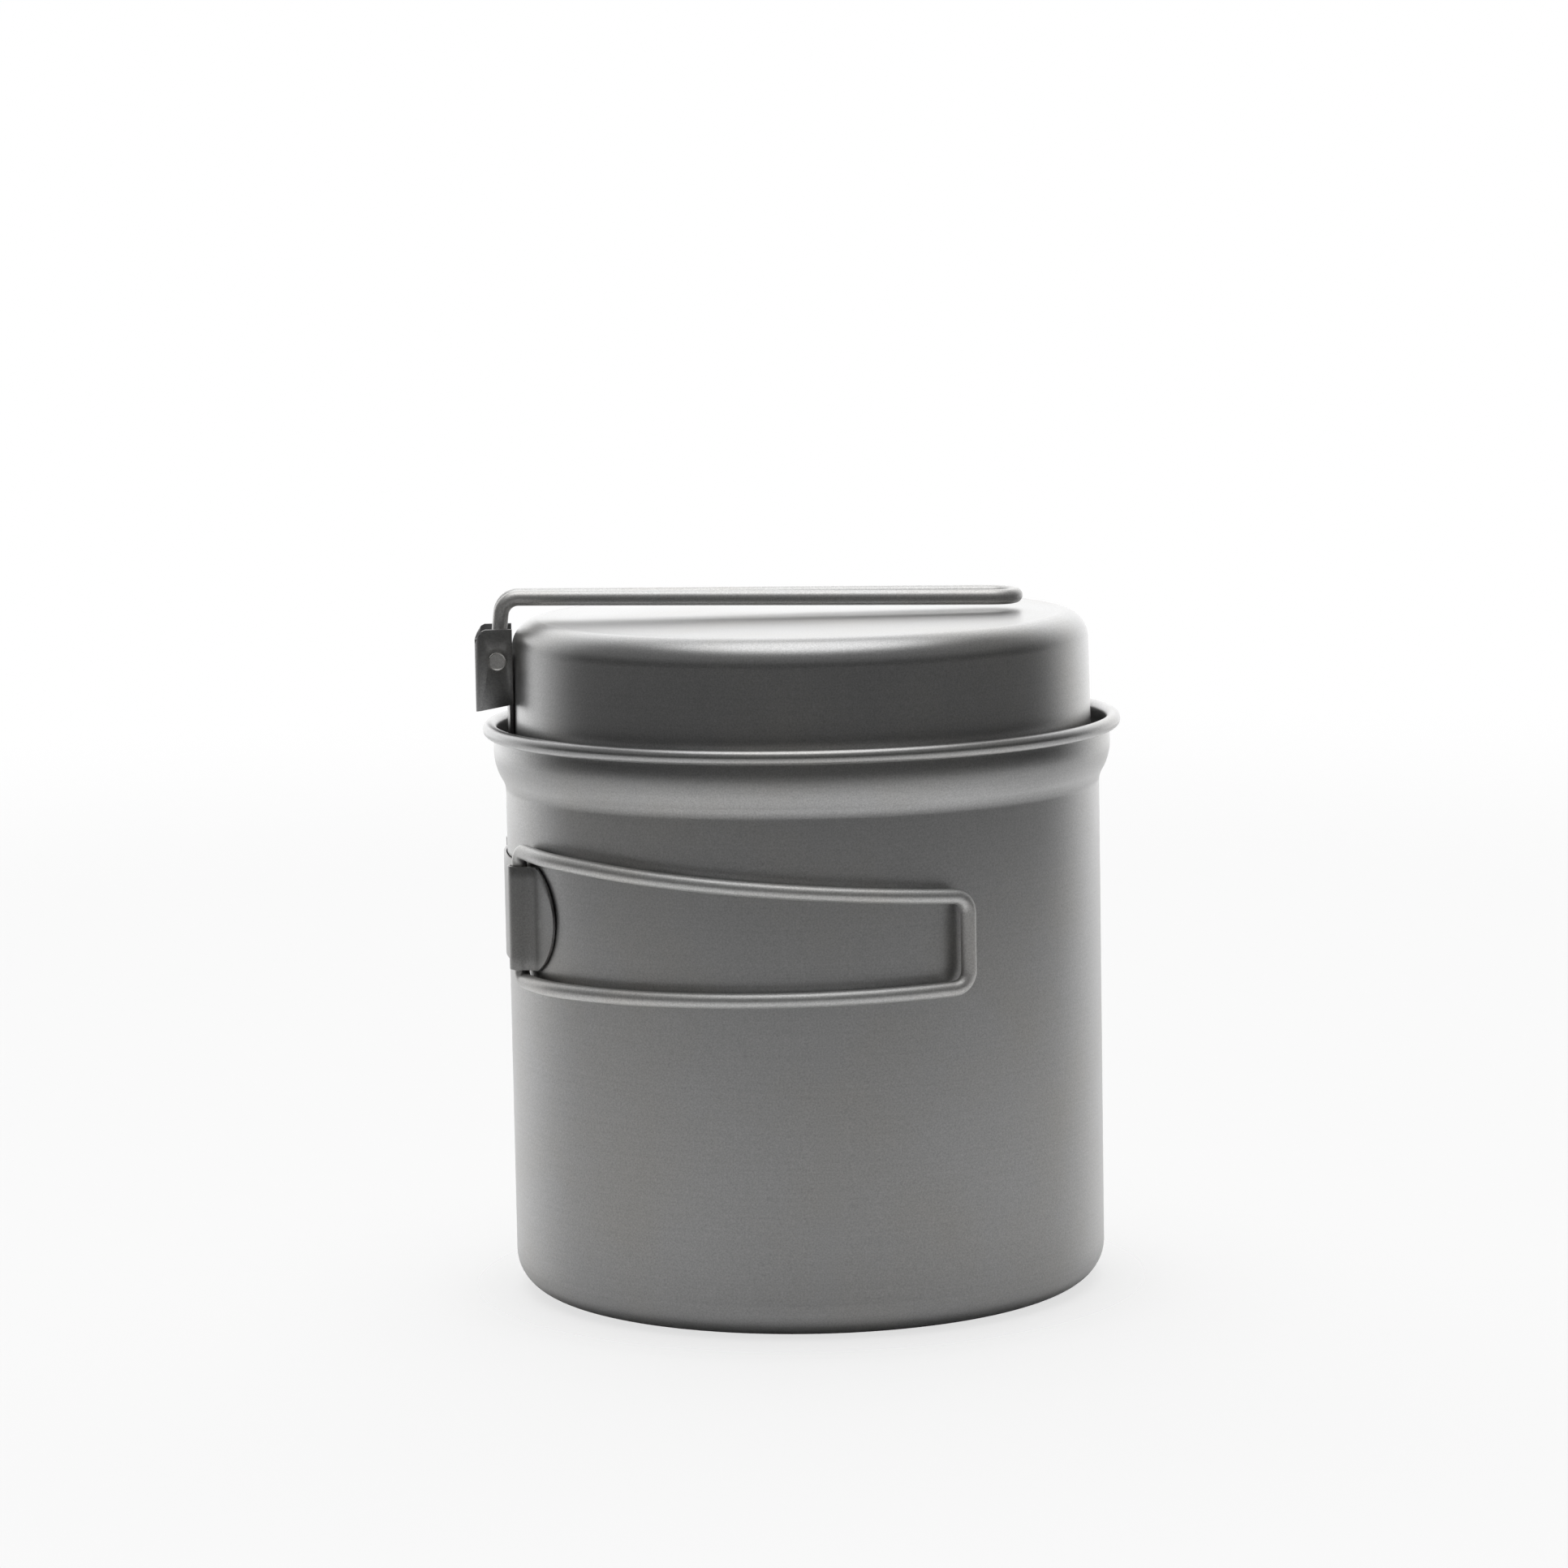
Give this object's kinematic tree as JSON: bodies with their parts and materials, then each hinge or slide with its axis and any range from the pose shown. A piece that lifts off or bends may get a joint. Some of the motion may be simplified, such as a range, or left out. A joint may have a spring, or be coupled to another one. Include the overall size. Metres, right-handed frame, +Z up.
{
  "type": "cooking pot set",
  "caption": "Deep camp cooking pot with folding wire side handles, and a shallow frying pan that stands upside down in its neck as a lid, with a folding wire handle.",
  "frame": {"origin": "on the pot's axis, at the underside of its base", "axes": "+Z up along the pot's axis; both handle brackets point towards -X; the front handle lies on the -Y side"},
  "size_m": [0.1234, 0.123, 0.1351],
  "materials": {
    "pot_titanium": "bead-blasted titanium sheet, fine grain, faint marks of spinning",
    "pan_titanium": "bead-blasted titanium sheet, fine grain, faint marks of spinning",
    "wire_titanium": "drawn titanium wire, dull satin",
    "bracket_titanium": "bead-blasted titanium sheet, spot-welded"
  },
  "bodies": {
    "pot": {"pot_body": "pot_titanium", "pot_handle_bracket": "bracket_titanium"},
    "front_handle": {"front_handle": "wire_titanium"},
    "rear_handle": {"rear_handle": "wire_titanium"},
    "pan": {"pan_body": "pan_titanium", "pan_handle_bracket": "bracket_titanium"},
    "pan_handle": {"pan_handle": "wire_titanium"}
  },
  "joints": [
    {"name": "pan_lift", "type": "slide", "parent": "pot", "child": "pan", "axis": [0, 0, 1], "range_m": [0, 0.05]},
    {"name": "pan_handle_fold", "type": "hinge", "parent": "pan", "child": "pan_handle", "pos_m": [-0.0581, 0, 0.12215], "axis": [0, -1, 0], "range_deg": [0, 177]},
    {"name": "front_handle_swing", "type": "hinge", "parent": "pot", "child": "front_handle", "pos_m": [-0.05492, -0.02086, 0.075], "axis": [0, 0, -1], "range_deg": [0, 155]},
    {"name": "rear_handle_swing", "type": "hinge", "parent": "pot", "child": "rear_handle", "pos_m": [-0.05492, 0.02086, 0.075], "axis": [0, 0, 1], "range_deg": [0, 155]}
  ]
}
